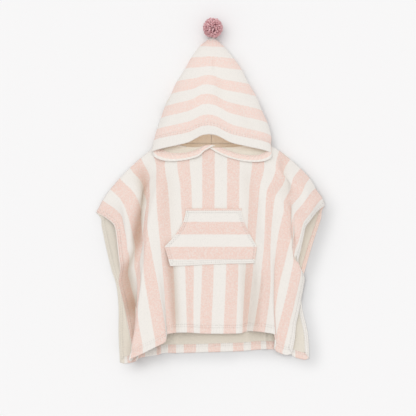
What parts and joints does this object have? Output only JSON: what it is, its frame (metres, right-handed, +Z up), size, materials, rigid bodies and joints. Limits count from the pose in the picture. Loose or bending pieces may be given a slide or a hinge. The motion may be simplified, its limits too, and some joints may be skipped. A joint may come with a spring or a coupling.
{
  "type": "hooded bath poncho laid flat",
  "caption": "Child's striped terry bath poncho laid flat, with a pointed hood, a yarn pompom, open sleeves and a pouch pocket.",
  "frame": {"origin": "middle of the outer box, on the surface that the poncho lies on", "axes": "+Y from the hem to the tip of the hood, +X to the right as seen from above, +Z up from the surface"},
  "size_m": [0.508, 0.7666, 0.0692],
  "materials": {
    "terry": "looped terry, pink and white stripes, matt",
    "pocket_terry": "looped terry, stripes running across, matt",
    "yarn": "cut wool yarn, matt"
  },
  "bodies": {
    "root": {"back_panel": "terry", "front_panel": "terry", "hood": "terry", "pocket": "pocket_terry", "pompom": "yarn"}
  },
  "joints": []
}
